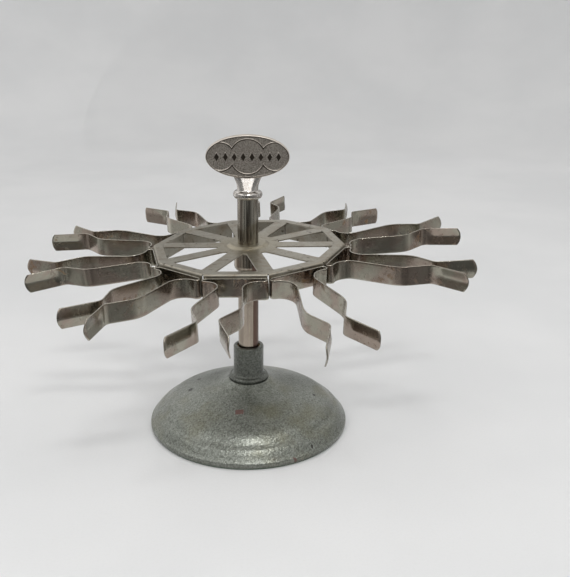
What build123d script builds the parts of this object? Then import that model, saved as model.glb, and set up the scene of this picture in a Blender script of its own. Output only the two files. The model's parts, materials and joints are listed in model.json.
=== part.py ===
from build123d import *
import os
from math import cos, radians, sin, tan

# Desk carousel for rubber stamps: a domed cast base with a socket collar, and above it a
# free-turning post that carries a ten-sided spoked plate, ten spring clips and an oval grip.
# Millimetres, +Z up, origin on the turning axis at the surface that the base stands on.
# The oval grip faces -Y. Directions are degrees about +Z from +X.

# ---- driving dimensions ----
SIDES = 10
FIRST_SIDE = -97.35              # direction that the first clip faces
BASE_RADIUS = 63.5
DOME_SEAT = 31.0                 # height of the flat on the dome that the collar sits on
SOCKET_TOP = 53.5
SOCKET_RADIUS = 9.55
POST_RADIUS = 6.35
PLATE_TOP = 119.6
PLATE_APOTHEM = 56.3             # axis to the outer face of a flange
GRIP_CENTRE = 173.4
GRIP_WIDTH = 49.5
GRIP_HEIGHT = 25.3
RUNNING_GAP = 0.05               # between the post and its bushes
END_GAP = 0.1                    # between the post's end and its thrust washer
FIT_GAP = 0.05                   # between pieces of one body that slide together

# ---- base ----
FELT_THICKNESS = 1.0
FELT_INSET = 0.2                 # felt's outer edge inside the cast rim's flat foot
RIM_ROUND = 1.2
RIM_WIDEST = 2.1                 # height at which the rim is widest
RIM_INNER = 57.0
DOME_SIDE = [                    # radius and height: a cone under the collar, then the dome
    (16, 29.1), (19.5, 27.3), (25, 25.4), (32, 23.5), (44, 18.9),
    (53.6, 13.7), (55.6, 11.7), (57.4, 10.7), (60.2, 7.9), (62.8, 4.5),      # a slight shoulder, then the rim
]
UNDERSIDE = [(51.5, 10.0), (42, 15.9), (30, 21.4)]
UNDERSIDE_TOP = 26.3
BOSS_RADIUS = 15.0
BOSS_BOTTOM = 23.5
SPIGOT_RADIUS = 9.0              # collar's lower end, through the base

# ---- collar and bearing ----
BORE_RADIUS = 7.35
COLLAR_BOTTOM = 9.0
FLOOR_THICKNESS = 3.0
MOUTH_ROUND = 1.0
BEAD_RADIUS = 12.6
BEAD_THICKNESS = 2.9
NECK_HEIGHT = 5.2                # where the collar's straight wall begins, above the dome
BUSH_RECESS = 1.6
BUSH_LENGTH = 12.0
BUSH_CLEAR_OF_WASHER = 1.0
THRUST_THICKNESS = 1.2
COLLAR_WASHER_RADIUS = 14.0
COLLAR_WASHER_THICKNESS = 1.2
NUT_THICKNESS = 6.0
NUT_ACROSS_FLATS = 27.0

# ---- post, hub boss and sleeve ----
STUD_RADIUS = 4.0
STUD_GAP = 0.1
STUD_TOP = 158.5
TAP_DEPTH = 15.0
HUB_RADIUS = 8.6
HUB_LENGTH = 16.5
HUB_ROUND = 3.4                  # height of the round lower edge
SET_SCREW_RADIUS = 1.9
SET_SCREW_DIRECTION = 100        # on the far side from the grip's face
SET_SCREW_DROP = 6.0             # below the top of the hub boss
SET_SCREW_DEPTH = 0.8            # how far its point enters the post
SET_SCREW_SUNK = 0.2             # how far its head lies inside the boss
SLOT_WIDTH = 0.6

# ---- retaining screw and washers, under the collar ----
SCREW_RADIUS = 2.5
SCREW_PASSAGE = 3.2
SCREW_REACH = 13.0               # how far the screw enters the post
HEAD_RADIUS = 4.8
HEAD_THICKNESS = 3.3
WASHER_GAP = 0.3
WASHER_RADIUS = 6.8
WASHER_THICKNESS = 1.3
SPRING_WASHER_RADIUS = 4.6
SPRING_WASHER_THICKNESS = 1.2
WASHER_BORE_GAP = 0.1

# ---- plate ----
LEAN = 2.9                       # knocked out of level by use, about a level line through its seat
LEAN_LOW = -155                  # direction in which it is lowest
SHEET = 0.9
BEND_RADIUS = 1.2                # outer radius of the bend between plate and flange
FLANGE_DEPTH = 13.2
FLANGE_HALF_WIDTH = 17.7
RIM_WIDTH = 5.8
SPOKE_WIDTH = 8.8
HUB_DISC_RADIUS = 18.5
HUB_RAISE = 1.3
HUB_FLAT_RADIUS = 10.5           # raised middle of the plate
HUB_SLOPE_RADIUS = 13.0
HUB_PATCH_RADIUS = 16.0          # how far the raised middle's own piece reaches into the plate
WINDOW_ROUND = 1.2

# ---- clips ----
STRIP = 0.7
STRIP_HEIGHT = 11.2
CURL_RADIUS = 2.0
CURL_CENTRE = 16.0               # half the length of the straight base of a clip
THROAT_RADIUS = 9.0
BELLY_NEAR_RADIUS = 24.0
BELLY_FAR_RADIUS = 12.0
NECK_RADIUS = 4.5
RISE_ANGLE = 13.5                # arm's slope outwards, from throat to belly
FALL_ANGLE = 27.0                # arm's slope inwards, from belly to neck
FLARE_ANGLE = 28.0
RISE_LENGTH = 20.9
FALL_LENGTH = 10.6
FLARE_LENGTH = 21.5
CREASE_START = 0.02
CREASE_DEPTH = 1.1
CREASE_RUN = 5.0                 # length over which the flat strip becomes creased
TIP_ARC = 8.0                    # radius of the rounded end
# Each clip is bent by use: sideways swing of its left and right arm, and its droop, in degrees.
SWING = [
    (-4.5, -6), (-12, -12.5), (4, -1.5), (5, 4.5), (10, 7),
    (4, 0), (3, -2.5), (6, -0.5), (-14.5, -14.5), (9, 3),
]
DROOP = [0.5, 7, -0.5, -1, 3, 0.5, 0, -1, 3, -1.5]

# ---- grip ----
GRIP_THICKNESS = 5.6
GRIP_ROUND = 0.6
GRIP_RIM = 0.9
GRIP_RECESS = 0.5
BORDER_CIRCLES = [(-16.0, 8.3), (0.0, 10.3), (16.0, 8.3)]    # centre and radius of three joined circles
BORDER_WIDTH = 0.7               # raised line along the outline of the circles
RELIEF = 0.4                     # height of the raised line and of the lozenges
LOZENGE_PLACES = [-18.2, -13, -7.8, -2.6, 2.6, 7.8, 13, 18.2]
LOZENGE_HALF_WIDTH = 1.5
LOZENGE_HALF_HEIGHT = 2.6
NECK_WAIST_RADIUS = 6.3
NECK_WAIST_LENGTH = 1.0
NECK_HEAD_HALF_WIDTH = 9.4
NECK_OVERLAP = 1.6               # how far the neck runs up into the oval
GRIP_BEAD_BOTTOM = 148.5
GRIP_BEAD_THICKNESS = 4.5
GRIP_BEAD_RADIUS = 8.85
GRIP_BEAD_FLAT = 7.2

SIDE_STEP = 360 / SIDES
HALF_SIDE_ANGLE = SIDE_STEP / 2
SHEET_BOTTOM = PLATE_TOP - SHEET
HUB_TOP = PLATE_TOP + HUB_RAISE
HUB_BOTTOM = SHEET_BOTTOM + HUB_RAISE
SEAT_SPARE = 2 * HUB_RADIUS * tan(radians(LEAN))       # height that the cuts to the slope need
STRIP_BOTTOM = PLATE_TOP - FLANGE_DEPTH
FLOOR_TOP = COLLAR_BOTTOM + FLOOR_THICKNESS
THRUST_TOP = FLOOR_TOP + THRUST_THICKNESS
POST_BOTTOM = THRUST_TOP + END_GAP
FOOT_RADIUS = BASE_RADIUS - RIM_ROUND
COLLAR_WASHER_BOTTOM = BOSS_BOTTOM - COLLAR_WASHER_THICKNESS
WASHER_TOP = COLLAR_BOTTOM - WASHER_GAP
WASHER_BOTTOM = WASHER_TOP - WASHER_THICKNESS
SCREW_SEAT = WASHER_BOTTOM - SPRING_WASHER_THICKNESS


def side_angle(index):
    return FIRST_SIDE + SIDE_STEP * index


def rod(radius, bottom, top):
    return Pos(0, 0, bottom) * Cylinder(radius, top - bottom, align=(Align.CENTER, Align.CENTER, Align.MIN))


def ring(outer, inner, bottom, top):
    return rod(outer, bottom, top) - rod(inner, bottom, top)


def section(points):
    """Points in the XZ plane from radius and height pairs."""
    return [(radius, 0, height) for radius, height in points]


def turned(*edges):
    """Solid of revolution about Z from edges in the XZ plane."""
    return revolve(make_face(list(edges)), Axis.Z)


def bent_path(start, heading, moves):
    """Straight runs and tangent arcs in the XY plane: (None, length) or (radius, turn)."""
    edges = []
    point = Vector(*start)
    direction = Vector(1, 0).rotate(Axis.Z, heading)
    for radius, amount in moves:
        if radius is None:
            edge = Line(point, point + direction * amount)
        else:
            edge = JernArc(point, direction, radius, amount)
        edges.append(edge)
        point = edge @ 1
        direction = edge % 1
    return edges, point, direction


def leaned(shape):
    """Turns a shape with the leaning plate, about the middle of the plate's seat."""
    heading = radians(LEAN_LOW + 90)
    return shape.rotate(Axis((0, 0, HUB_BOTTOM), (cos(heading), sin(heading), 0)), LEAN)


def above_seat():
    """Cuts the post's shoulder and the hub boss to the plate's slope."""
    return leaned(rod(2 * HUB_RADIUS, HUB_BOTTOM, HUB_BOTTOM + HUB_RADIUS))


# ---- stand ----

def base_casting():
    seat_edge = (BEAD_RADIUS + 0.5, DOME_SEAT)
    widest = (BASE_RADIUS, RIM_WIDEST)
    foot_outer = (FOOT_RADIUS, FELT_THICKNESS)
    foot_inner = (RIM_INNER, FELT_THICKNESS)
    rim_top = (RIM_INNER, FELT_THICKNESS + 3)
    boss_top = (BOSS_RADIUS, UNDERSIDE_TOP)
    hole = SPIGOT_RADIUS + FIT_GAP
    dome = Spline(section([seat_edge, *DOME_SIDE, widest]), tangents=[(1, 0, -0.6), (0, 0, -1)])
    rim = ThreePointArc(section([widest, (BASE_RADIUS - 0.3 * RIM_ROUND, 1.3), foot_outer]))
    foot = Polyline(section([foot_outer, foot_inner, rim_top]))
    underside = Spline(section([rim_top, *UNDERSIDE, boss_top]))
    boss = Polyline(
        section([boss_top, (BOSS_RADIUS, BOSS_BOTTOM), (hole, BOSS_BOTTOM), (hole, DOME_SEAT), seat_edge])
    )
    return turned(dome, rim, foot, underside, boss)


def felt_ring():
    return ring(FOOT_RADIUS - FELT_INSET, RIM_INNER + 2 * FELT_INSET, 0, FELT_THICKNESS)


def socket_collar():
    """Tube with a closed lower end, a rounded mouth and a bead that sits on the dome."""
    mouth_inner = (BORE_RADIUS, SOCKET_TOP)
    mouth_outer = (SOCKET_RADIUS - MOUTH_ROUND, SOCKET_TOP)
    mouth_middle = (SOCKET_RADIUS - 0.3 * MOUTH_ROUND, SOCKET_TOP - 0.3 * MOUTH_ROUND)
    wall_top = (SOCKET_RADIUS, SOCKET_TOP - MOUTH_ROUND)
    wall_bottom = (SOCKET_RADIUS, DOME_SEAT + NECK_HEIGHT)
    bead_top = (SOCKET_RADIUS + 1.3, DOME_SEAT + BEAD_THICKNESS)
    bead_widest = (BEAD_RADIUS, DOME_SEAT + 0.45 * BEAD_THICKNESS)
    bead_bottom = (BEAD_RADIUS - 0.6, DOME_SEAT)
    inside = [
        bead_bottom,
        (SPIGOT_RADIUS, DOME_SEAT),
        (SPIGOT_RADIUS, COLLAR_BOTTOM),
        (SCREW_PASSAGE, COLLAR_BOTTOM),
        (SCREW_PASSAGE, FLOOR_TOP),
        (BORE_RADIUS, FLOOR_TOP),
        mouth_inner,
    ]
    return turned(
        Polyline(section([mouth_inner, mouth_outer])),
        ThreePointArc(section([mouth_outer, mouth_middle, wall_top])),
        Polyline(section([wall_top, wall_bottom])),
        Spline(section([wall_bottom, bead_top]), tangents=[(0, 0, -1), (1, 0, -0.6)]),
        ThreePointArc(section([bead_top, bead_widest, bead_bottom])),
        Polyline(section(inside)),
    )


def collar_washer():
    return ring(COLLAR_WASHER_RADIUS, SPIGOT_RADIUS + FIT_GAP, COLLAR_WASHER_BOTTOM, BOSS_BOTTOM)


def collar_nut():
    """Hexagon whose lower corners are chamfered."""
    bottom = COLLAR_WASHER_BOTTOM - NUT_THICKNESS
    hexagon = extrude(RegularPolygon(NUT_ACROSS_FLATS / 2, 6, major_radius=False), NUT_THICKNESS)
    chamfer_cone = Cone(0.53 * NUT_ACROSS_FLATS, 0.65 * NUT_ACROSS_FLATS, NUT_THICKNESS)
    chamfered = hexagon & Pos(0, 0, NUT_THICKNESS / 2) * chamfer_cone
    return Pos(0, 0, bottom) * chamfered - rod(SPIGOT_RADIUS, bottom, COLLAR_WASHER_BOTTOM)


def bush(bottom):
    return ring(BORE_RADIUS, POST_RADIUS + RUNNING_GAP, bottom, bottom + BUSH_LENGTH)


def upper_bush():
    return bush(SOCKET_TOP - BUSH_RECESS - BUSH_LENGTH)


def lower_bush():
    return bush(THRUST_TOP + BUSH_CLEAR_OF_WASHER)


def thrust_washer():
    return ring(BORE_RADIUS - 2 * FIT_GAP, SCREW_PASSAGE, FLOOR_TOP, THRUST_TOP)


# ---- carousel ----

def set_screw_rod(start, end):
    """Cylinder across the hub, between two distances from the turning axis."""
    screw = Rot(0, 90, 0) * rod(SET_SCREW_RADIUS, start, end)
    return Rot(0, 0, SET_SCREW_DIRECTION) * Pos(0, 0, HUB_BOTTOM - SET_SCREW_DROP) * screw


def post():
    tapped_hole = rod(SCREW_RADIUS, POST_BOTTOM, POST_BOTTOM + TAP_DEPTH)
    dimple = set_screw_rod(POST_RADIUS - SET_SCREW_DEPTH, HUB_RADIUS)
    bar = rod(POST_RADIUS, POST_BOTTOM, HUB_BOTTOM + SEAT_SPARE) - above_seat()
    return bar + rod(STUD_RADIUS, HUB_BOTTOM - SEAT_SPARE, STUD_TOP) - dimple - tapped_hole


def hub_boss():
    bottom = HUB_BOTTOM - HUB_LENGTH
    round_top = (HUB_RADIUS, bottom + HUB_ROUND)
    round_middle = (HUB_RADIUS - 0.6, bottom + 0.35 * HUB_ROUND)
    round_foot = (POST_RADIUS + 0.5, bottom)
    top = HUB_BOTTOM + SEAT_SPARE
    body = turned(
        Polyline(section([(POST_RADIUS, top), (HUB_RADIUS, top), round_top])),
        ThreePointArc(section([round_top, round_middle, round_foot])),
        Polyline(section([round_foot, (POST_RADIUS, bottom), (POST_RADIUS, top)])),
    )
    return body - above_seat() - set_screw_rod(POST_RADIUS / 2, HUB_RADIUS + 1)


def hub_set_screw():
    screw = set_screw_rod(POST_RADIUS - SET_SCREW_DEPTH, HUB_RADIUS - SET_SCREW_SUNK)
    slot = Pos(HUB_RADIUS, 0, HUB_BOTTOM - SET_SCREW_DROP) * Box(1.6, SLOT_WIDTH, 3 * SET_SCREW_RADIUS)
    return screw - Rot(0, 0, SET_SCREW_DIRECTION) * slot


def window(index):
    """Opening between two spokes: narrow at the hub, wide at the rim."""
    inner = HUB_DISC_RADIUS
    outer = PLATE_APOTHEM - RIM_WIDTH
    slope = tan(radians(HALF_SIDE_ANGLE))
    spoke_offset = SPOKE_WIDTH / 2 / cos(radians(HALF_SIDE_ANGLE))
    half_inner = inner * slope - spoke_offset
    half_outer = outer * slope - spoke_offset
    corners = [(inner, -half_inner), (outer, -half_outer), (outer, half_outer), (inner, half_inner)]
    shape = make_face(Polyline(*corners, close=True))
    shape = fillet(shape.vertices().sort_by(Axis.X)[:2], WINDOW_ROUND)
    cutter = extrude(shape, 4 * SHEET)
    return Rot(0, 0, side_angle(index)) * Pos(0, 0, SHEET_BOTTOM - SHEET) * cutter


def flange(index):
    """Edge of one side: the flat rim, the bend and the down-turned flange."""
    moves = [
        (None, RIM_WIDTH - BEND_RADIUS),
        (BEND_RADIUS - SHEET / 2, -90 - DROOP[index]),
        (None, FLANGE_DEPTH - BEND_RADIUS),
    ]
    path, _, _ = bent_path((PLATE_APOTHEM - RIM_WIDTH, 0), 0, moves)
    bar = extrude(trace(path, line_width=SHEET), FLANGE_HALF_WIDTH, both=True)
    upright = Pos(0, 0, PLATE_TOP - SHEET / 2) * Rot(90, 0, 0) * bar
    return Rot(0, 0, side_angle(index)) * upright


def raised_hub():
    """Shallow dish that lifts the middle of the plate."""
    bore = STUD_RADIUS + STUD_GAP
    upper = [
        (bore, HUB_TOP),
        (HUB_FLAT_RADIUS, HUB_TOP),
        (HUB_SLOPE_RADIUS, PLATE_TOP),
        (HUB_PATCH_RADIUS, PLATE_TOP),
    ]
    lower = [(radius, height - SHEET) for radius, height in reversed(upper)]
    return turned(Polyline(section(upper + lower), close=True))


def spider_plate():
    outline = RegularPolygon(PLATE_APOTHEM - BEND_RADIUS, SIDES, major_radius=False)
    outline = Rot(0, 0, side_angle(0) + HALF_SIDE_ANGLE) * outline
    plate = Pos(0, 0, SHEET_BOTTOM) * extrude(outline, SHEET)
    plate -= rod((HUB_SLOPE_RADIUS + HUB_PATCH_RADIUS) / 2, SHEET_BOTTOM - SHEET, PLATE_TOP + SHEET)
    plate += raised_hub()
    for index in range(SIDES):
        plate += flange(index)
    for index in range(SIDES):
        plate -= window(index)
    return leaned(plate)


def flare(start, direction, side):
    """Creased, round-ended tip of an arm; the ridge stands on the clip's inner side."""
    inward = direction.cross(Vector(0, 0, 1)) * side
    half = STRIP / 2
    top = STRIP_HEIGHT / 2

    def chevron(distance, depth):
        outline = Polyline(
            (-half, -top),
            (depth - half, 0),
            (-half, top),
            (half, top),
            (depth + half, 0),
            (half, -top),
            close=True,
        )
        centre = start + direction * distance + Vector(0, 0, top)
        return Plane(origin=centre, x_dir=inward, z_dir=direction) * make_face(outline)

    body = loft([chevron(0, CREASE_START), chevron(CREASE_RUN, CREASE_DEPTH)], ruled=True)
    body += loft([chevron(CREASE_RUN, CREASE_DEPTH), chevron(FLARE_LENGTH, CREASE_DEPTH)], ruled=True)
    arc_centre = start + direction * (FLARE_LENGTH - TIP_ARC) + Vector(0, 0, top)
    depth = 4 * CREASE_DEPTH
    past_arc = Pos(TIP_ARC, 0, 0) * Box(2 * TIP_ARC, 2 * TIP_ARC, depth) - Cylinder(TIP_ARC, depth)
    return body - Plane(origin=arc_centre, x_dir=direction, z_dir=inward) * past_arc


def clip_arm(index, side):
    """Half of a clip, in the XY plane: straight base, curl, belly, neck and flared end."""
    moves = [
        (None, CURL_CENTRE),
        (CURL_RADIUS, -side * 180 + SWING[index][max(side, 0)]),
        (THROAT_RADIUS, side * (90 + RISE_ANGLE)),
        (None, RISE_LENGTH),
        (BELLY_NEAR_RADIUS, -side * RISE_ANGLE),
        (BELLY_FAR_RADIUS, -side * FALL_ANGLE),
        (None, FALL_LENGTH),
        (NECK_RADIUS, side * (FALL_ANGLE + FLARE_ANGLE)),
    ]
    path, end, direction = bent_path((PLATE_APOTHEM + STRIP / 2, 0), side * 90, moves)
    return extrude(trace(path, line_width=STRIP), STRIP_HEIGHT) + flare(end, direction, side)


def spring_clip(index):
    """One strip with two arms. It droops about the bend of its flange."""
    clip = Pos(0, 0, STRIP_BOTTOM) * (clip_arm(index, 1) + clip_arm(index, -1))
    bend_axis = Axis((PLATE_APOTHEM - BEND_RADIUS, 0, PLATE_TOP - BEND_RADIUS), (0, 1, 0))
    return leaned(Rot(0, 0, side_angle(index)) * clip.rotate(bend_axis, DROOP[index]))


def upper_sleeve():
    """Tube whose foot is cut to the plate's slope."""
    tube = ring(POST_RADIUS, STUD_RADIUS + STUD_GAP, HUB_TOP - SEAT_SPARE, GRIP_BEAD_BOTTOM)
    return tube - leaned(rod(2 * POST_RADIUS, HUB_TOP - POST_RADIUS, HUB_TOP))


def joined_circles(grow):
    circles = [Pos(centre, 0) * Circle(radius + grow) for centre, radius in BORDER_CIRCLES]
    return circles[0] + circles[1:]


def relief(field):
    """Raised line along the three joined circles, and a plain row of lozenges across them."""
    line = (joined_circles(BORDER_WIDTH / 2) - joined_circles(-BORDER_WIDTH / 2)) & field
    shape = extrude(line, RELIEF)
    width, height = LOZENGE_HALF_WIDTH, LOZENGE_HALF_HEIGHT
    lozenge = extrude(Polygon((width, 0), (0, height), (-width, 0), (0, -height)), RELIEF)
    return shape + [Pos(place, 0) * lozenge for place in LOZENGE_PLACES]


def grip_oval():
    """Oval plate with a shallow recess inside a thin rim on each face, and its raised ornament."""
    outline = Ellipse(GRIP_WIDTH / 2, GRIP_HEIGHT / 2)
    oval = fillet(extrude(outline, GRIP_THICKNESS / 2, both=True).edges(), GRIP_ROUND)
    field = Ellipse(GRIP_WIDTH / 2 - GRIP_RIM, GRIP_HEIGHT / 2 - GRIP_RIM)
    floor = GRIP_THICKNESS / 2 - GRIP_RECESS
    for turn in (0, 180):
        oval -= Rot(turn, 0, 0) * Pos(0, 0, floor) * extrude(field, GRIP_RECESS)
        oval += Rot(turn, 0, 0) * Pos(0, 0, floor) * relief(field)
    return Pos(0, 0, GRIP_CENTRE) * Rot(90, 0, 0) * oval


def grip():
    bead_top = GRIP_BEAD_BOTTOM + GRIP_BEAD_THICKNESS
    waist_top = bead_top + NECK_WAIST_LENGTH
    head_height = GRIP_CENTRE - GRIP_HEIGHT / 2 + NECK_OVERLAP
    waist = Pos(0, 0, waist_top) * Circle(NECK_WAIST_RADIUS)
    head = Pos(0, 0, head_height) * Ellipse(NECK_HEAD_HALF_WIDTH, GRIP_THICKNESS / 2)
    neck = rod(NECK_WAIST_RADIUS, bead_top, waist_top) + loft([waist, head])
    bead_foot = (GRIP_BEAD_FLAT, GRIP_BEAD_BOTTOM)
    bead_widest = (GRIP_BEAD_RADIUS, (GRIP_BEAD_BOTTOM + bead_top) / 2)
    bead_head = (GRIP_BEAD_FLAT, bead_top)
    bead = turned(
        Polyline(section([(0, GRIP_BEAD_BOTTOM), bead_foot])),
        ThreePointArc(section([bead_foot, bead_widest, bead_head])),
        Polyline(section([bead_head, (0, bead_top), (0, GRIP_BEAD_BOTTOM)])),
    )
    return grip_oval() + neck + bead - rod(STUD_RADIUS, GRIP_BEAD_BOTTOM, STUD_TOP)


# ---- what keeps the post in its socket ----

def retaining_washer():
    return ring(WASHER_RADIUS, SCREW_RADIUS + WASHER_BORE_GAP, WASHER_BOTTOM, WASHER_TOP)


def spring_washer():
    """Ring with one slanting split."""
    middle = (WASHER_BOTTOM + SCREW_SEAT) / 2
    whole = ring(SPRING_WASHER_RADIUS, SCREW_RADIUS + WASHER_BORE_GAP, SCREW_SEAT, WASHER_BOTTOM)
    return whole - Pos(SPRING_WASHER_RADIUS, 0, middle) * Rot(20, 0, 0) * Box(6, SLOT_WIDTH, 4)


def retaining_screw():
    bottom = SCREW_SEAT - HEAD_THICKNESS
    head = rod(HEAD_RADIUS, bottom, SCREW_SEAT)
    head = fillet(head.edges().sort_by(Axis.Z)[0], HEAD_THICKNESS / 3)
    slot = Pos(0, 0, bottom) * Box(3 * HEAD_RADIUS, 2 * SLOT_WIDTH, 0.7 * HEAD_THICKNESS)
    return head + rod(SCREW_RADIUS, SCREW_SEAT, POST_BOTTOM + SCREW_REACH) - slot


def main():
    builders = [
        base_casting, felt_ring, socket_collar, collar_washer, collar_nut,
        upper_bush, lower_bush, thrust_washer,
        post, hub_boss, hub_set_screw, spider_plate, upper_sleeve, grip,
        retaining_washer, spring_washer, retaining_screw,
    ]
    nodes = {builder.__name__: builder() for builder in builders}
    for index in range(SIDES):
        nodes[f"clip_{index + 1:02d}"] = spring_clip(index)
    os.makedirs("parts", exist_ok=True)
    for name, shape in nodes.items():
        export_step(shape, f"parts/{name}.step")


main()
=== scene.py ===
import json
import math

import bmesh
import bpy
from mathutils import Matrix, Vector, noise


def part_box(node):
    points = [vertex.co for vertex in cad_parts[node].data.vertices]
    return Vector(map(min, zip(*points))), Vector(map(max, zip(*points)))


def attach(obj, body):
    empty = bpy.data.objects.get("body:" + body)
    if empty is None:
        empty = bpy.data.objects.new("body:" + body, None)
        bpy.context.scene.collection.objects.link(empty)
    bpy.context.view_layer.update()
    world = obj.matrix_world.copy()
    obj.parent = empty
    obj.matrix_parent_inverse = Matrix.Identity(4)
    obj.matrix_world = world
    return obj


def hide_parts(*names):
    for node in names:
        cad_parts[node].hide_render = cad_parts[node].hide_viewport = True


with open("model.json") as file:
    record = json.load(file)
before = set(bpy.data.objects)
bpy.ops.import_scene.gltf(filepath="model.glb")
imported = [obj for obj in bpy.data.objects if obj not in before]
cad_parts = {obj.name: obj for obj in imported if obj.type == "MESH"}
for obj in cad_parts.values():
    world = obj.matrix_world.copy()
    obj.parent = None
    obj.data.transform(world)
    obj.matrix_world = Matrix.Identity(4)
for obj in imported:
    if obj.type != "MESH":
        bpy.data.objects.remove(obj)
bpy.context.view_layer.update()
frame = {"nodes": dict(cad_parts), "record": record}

# Desk carousel for rubber stamps. The CAD model holds the base, collar, post and hardware; this
# script rebuilds the spring clips, the spoked plate and the grip as detailed meshes, gives every
# piece its material and lights the scene. Shapes are worked out in millimetres and written in
# metres, in the frame of the CAD model: +Z up, origin under the turning axis, grip facing -Y.
# Directions are degrees about +Z from +X.

MM = 0.001

# ---- the carousel, as in the CAD model ----
SIDES = 10
SIDE_STEP = 360 / SIDES
FIRST_SIDE = -97.35              # direction that the first clip faces
SHEET = 0.9                      # thickness of the plate
HUB_RAISE = 1.3                  # how far the plate's middle stands above the rest
PLATE_TOP = 119.6
PLATE_APOTHEM = 56.3             # axis to the outer face of a flange
BEND_RADIUS = 1.2
FLANGE_DEPTH = 13.2
FLANGE_HALF_WIDTH = 17.7
RIM_WIDTH = 5.8
SPOKE_WIDTH = 8.8
WINDOW_START = 18.5
SPOKE_MIDDLE_START = WINDOW_START + 0.6
WINDOW_ROUND = 1.2
STUD_HOLE = 4.1
HUB_RINGS = (STUD_HOLE, 6.0, 8.0, 9.5, 10.5, 11.2, 12.0, 12.8, 13.6, 15.0)      # radii, close at the slope
LEAN = 2.9                       # the plate has been knocked out of level, about its seat
LEAN_LOW = -155                  # direction in which it is lowest

STRIP = 0.7
STRIP_HEIGHT = 11.2
CURL_RADIUS = 2.0
CURL_CENTRE = 16.0
THROAT_RADIUS = 9.0
BELLY_NEAR_RADIUS = 24.0
BELLY_FAR_RADIUS = 12.0
NECK_RADIUS = 4.5
RISE_ANGLE = 13.5
FALL_ANGLE = 27.0
FLARE_ANGLE = 28.0
RISE_LENGTH = 20.9
FALL_LENGTH = 10.6
FLARE_LENGTH = 21.5
CREASE_DEPTH = 1.1
CREASE_RUN = 5.0
TIP_ARC = 8.0                    # radius of the rounded end
TIP_RUN = 6.0                    # length over which the mesh closes up to the rounded end
SWING = [                        # how far use has bent each clip's left and right arm sideways
    (-4.5, -6), (-12, -12.5), (4, -1.5), (5, 4.5), (10, 7),
    (4, 0), (3, -2.5), (6, -0.5), (-14.5, -14.5), (9, 3),
]
DROOP = [0.5, 7, -0.5, -1, 3, 0.5, 0, -1, 3, -1.5]

# ---- clip details ----
EDGE_ROUND = 0.25                # how far in the strip's rounded edges start
EDGE_HIGHLIGHT_BAND = 0.05 * STRIP_HEIGHT  # painted highlight within this, in the units of the strip's UV map
STRIP_ROWS = 13                  # mesh rows up the strip
RIDGE_ROUND = 1.0                # radius of the crease's ridge
WELD_OFFSET = 7.0                # two weld marks, each side of the middle
WELD_RADIUS = 1.3
WELD_DEPTH = 0.2
WELD_ZONE = 12.0                 # half-length of the finer mesh round the welds
FINE_STEP = 0.7
COARSE_STEP = 1.5
ARC_STEP = 7.0                   # degrees of turn from one mesh section to the next

# ---- grip ----
GRIP_WIDTH = (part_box("grip")[1].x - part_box("grip")[0].x) / MM
GRIP_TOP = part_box("grip")[1].z / MM
GRIP_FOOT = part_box("grip")[0].z / MM
GRIP_HEIGHT = 25.3
GRIP_CENTRE = GRIP_TOP - GRIP_HEIGHT / 2
GRIP_THICKNESS = 5.6
GRIP_RIM = 0.9
GRIP_RECESS = 0.5
GRIP_EDGE_ROUND = 0.6
GRIP_SPOKES = 400                # mesh spokes round the oval
GRIP_RINGS = 96
RIM_INSETS = (1.25, 1.1, 1.0, 0.9, 0.8, 0.7)       # rings between the field and the rounded edge
FIELD_MARGIN = 0.5               # between the field's last ring and the rim
CIRCLES = [(-16.0, 8.3), (0.0, 10.3), (16.0, 8.3)]     # centre and radius of the border's circles
LINE_HALF_WIDTH = 0.35
RELIEF = 0.4                     # height of the raised line and of the lozenges
LOZENGES = [-18.2, -13, -7.8, -2.6, 2.6, 7.8, 13, 18.2]
LOZENGE_HALF_WIDTH = 1.5
LOZENGE_HALF_HEIGHT = 2.6
SLOPE_WIDTH = 0.3                # how wide the slopes round raised parts are
PEBBLE_SIZE = 0.6
PEBBLE_DEPTH = 0.06
WAIST_RADIUS = 6.3
NECK_FLARE = 3.4
COLLAR_BEAD_RADIUS = 8.85
COLLAR_BEAD_HEIGHT = 4.5

# ---- camera, as the object was seen ----
FOCAL_SHARE = 800 / 570          # focal length over the picture's width
SENSOR = 36.0
CAMERA_PLACE = (0.0, -0.4716, 0.2528)
CAMERA_PITCH = 18.93
CAMERA_YAW = 2.78
CAMERA_ROLL = 0.61


# ---- mesh helpers ----

def side_angle(index):
    return math.radians(FIRST_SIDE + SIDE_STEP * index)


def leaned(point):
    """Turns a point in millimetres with the leaning plate."""
    seat = Vector((0, 0, PLATE_TOP - SHEET + HUB_RAISE))
    heading = math.radians(LEAN_LOW + 90)
    axis = Vector((math.cos(heading), math.sin(heading), 0))
    return seat + Matrix.Rotation(math.radians(LEAN), 3, axis) @ (Vector(point) - seat)


def smoothstep(value):
    value = min(max(value, 0.0), 1.0)
    return value * value * (3 - 2 * value)


def mesh_object(name, points, faces, uvs=None):
    """Smooth-shaded mesh from points in millimetres; uvs gives one pair for each point."""
    mesh = bpy.data.meshes.new(name)
    mesh.from_pydata([Vector(point) * MM for point in points], [], faces)
    if uvs:
        layer = mesh.uv_layers.new(name="along")
        for loop in mesh.loops:
            layer.data[loop.index].uv = uvs[loop.vertex_index]
    mesh.shade_smooth()
    piece = bpy.data.objects.new(name, mesh)
    bpy.context.scene.collection.objects.link(piece)
    return piece


def apply_modifiers(piece):
    """Replaces the piece's mesh with what its modifiers make of it."""
    depsgraph = bpy.context.evaluated_depsgraph_get()
    mesh = bpy.data.meshes.new_from_object(piece.evaluated_get(depsgraph))
    piece.modifiers.clear()
    piece.data = mesh


def weigh_normals(piece):
    """Keeps broad faces flat-looking beside small rounded edges."""
    weighted = piece.modifiers.new("normals", "WEIGHTED_NORMAL")
    weighted.keep_sharp = True
    weighted.weight = 80


def place_piece(piece, node, material):
    """The piece stands for a CAD node of the carousel."""
    piece.data.materials.clear()
    piece.data.materials.append(material)
    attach(piece, "carousel")
    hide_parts(node)


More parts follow.
